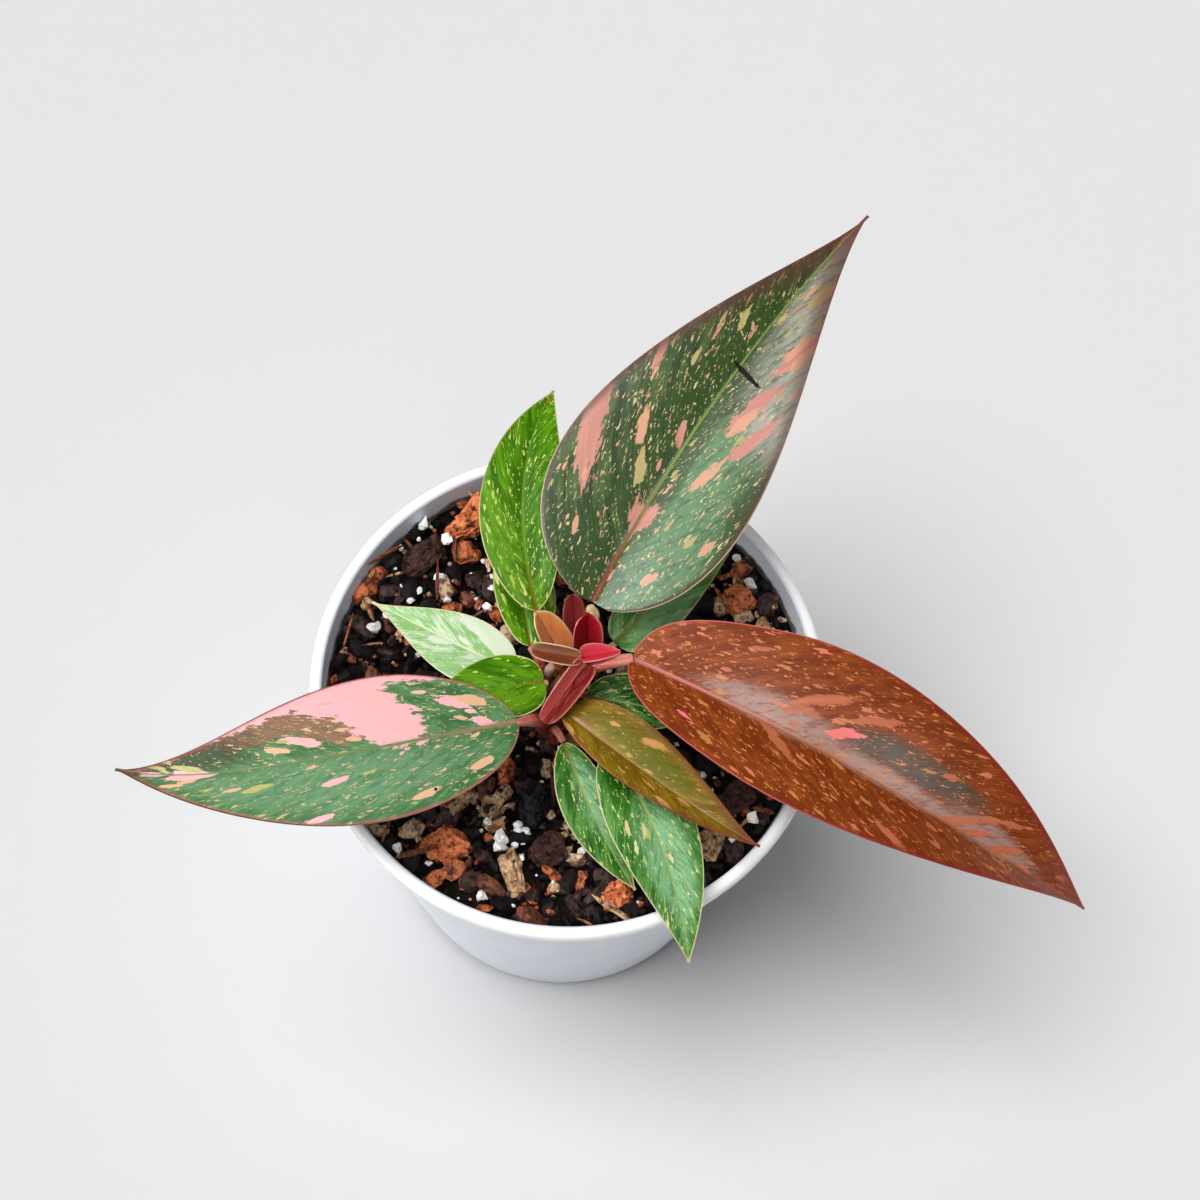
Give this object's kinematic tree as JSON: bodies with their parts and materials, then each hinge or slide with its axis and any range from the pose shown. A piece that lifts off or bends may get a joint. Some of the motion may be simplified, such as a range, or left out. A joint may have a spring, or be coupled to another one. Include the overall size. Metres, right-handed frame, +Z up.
{
  "type": "potted philodendron",
  "caption": "Short leaning plant with broad pointed variegated leaves on arching stalks, growing in a tapered round pot filled with chunky bark mix",
  "frame": {"origin": "centre of the pot's flat foot, at the level the pot stands on", "axes": "+Z up along the pot's axis, -Y to the front, +X to the right, where the copper leaf reaches out"},
  "size_m": [0.2314, 0.1719, 0.1781],
  "materials": {
    "pot_white_plastic": "satin",
    "potting_mix": "matt",
    "stem_skin": "satin",
    "stalk_pink": "satin",
    "stalk_green": "satin",
    "leaf_dark_variegated": "semi-gloss",
    "leaf_copper": "semi-gloss",
    "leaf_pink_green": "semi-gloss",
    "leaf_bright_green": "semi-gloss",
    "leaf_mint": "semi-gloss",
    "leaf_green": "semi-gloss",
    "leaf_bronze": "semi-gloss",
    "leaf_crimson": "satin",
    "sheath_tan": "satin",
    "sheath_maroon": "satin",
    "bark_rust": "matt",
    "bark_dark": "matt",
    "bark_tan": "matt",
    "charcoal": "matt"
  },
  "bodies": {
    "root": {"pot": "pot_white_plastic", "soil": "potting_mix", "stem": "stem_skin", "blade_back_large": "leaf_dark_variegated", "blade_right_copper": "leaf_copper", "blade_left_pink": "leaf_pink_green", "blade_back_green": "leaf_bright_green", "blade_back_small": "leaf_bright_green", "blade_mint": "leaf_mint", "blade_left_small": "leaf_bright_green", "blade_right_small": "leaf_green", "blade_under_copper": "leaf_green", "blade_front_bronze": "leaf_bronze", "blade_front_green": "leaf_green", "blade_front_small": "leaf_green", "stalk_back_large": "stalk_green", "stalk_right_copper": "stalk_pink", "stalk_left_pink": "stalk_pink", "stalk_back_green": "stalk_green", "stalk_back_small": "stalk_pink", "stalk_mint": "stalk_green", "stalk_left_small": "stalk_green", "stalk_right_small": "stalk_green", "stalk_under_copper": "stalk_pink", "stalk_front_bronze": "stalk_pink", "stalk_front_green": "stalk_green", "stalk_front_small": "stalk_pink", "stalk_stub_old": "sheath_tan", "young_leaf_red": "leaf_crimson", "young_leaf_flap": "leaf_crimson", "sheath_red_front": "leaf_crimson", "sheath_orange": "sheath_tan", "sheath_brown": "sheath_tan", "sheath_maroon_back": "sheath_maroon", "bark_rust_back": "bark_rust", "bark_brown_back": "bark_dark", "bark_rust_front": "bark_rust", "leaf_litter_outer": "bark_tan", "leaf_litter_inner": "bark_tan", "charcoal_front": "charcoal", "bark_orange_small": "bark_rust", "bark_block_front": "bark_dark", "bark_tan_front": "bark_tan", "bark_round_front": "bark_rust", "bark_rust_right": "bark_rust", "bark_tan_right": "bark_tan", "bark_dark_right": "bark_dark", "bark_tan_low": "bark_tan"}
  },
  "joints": []
}
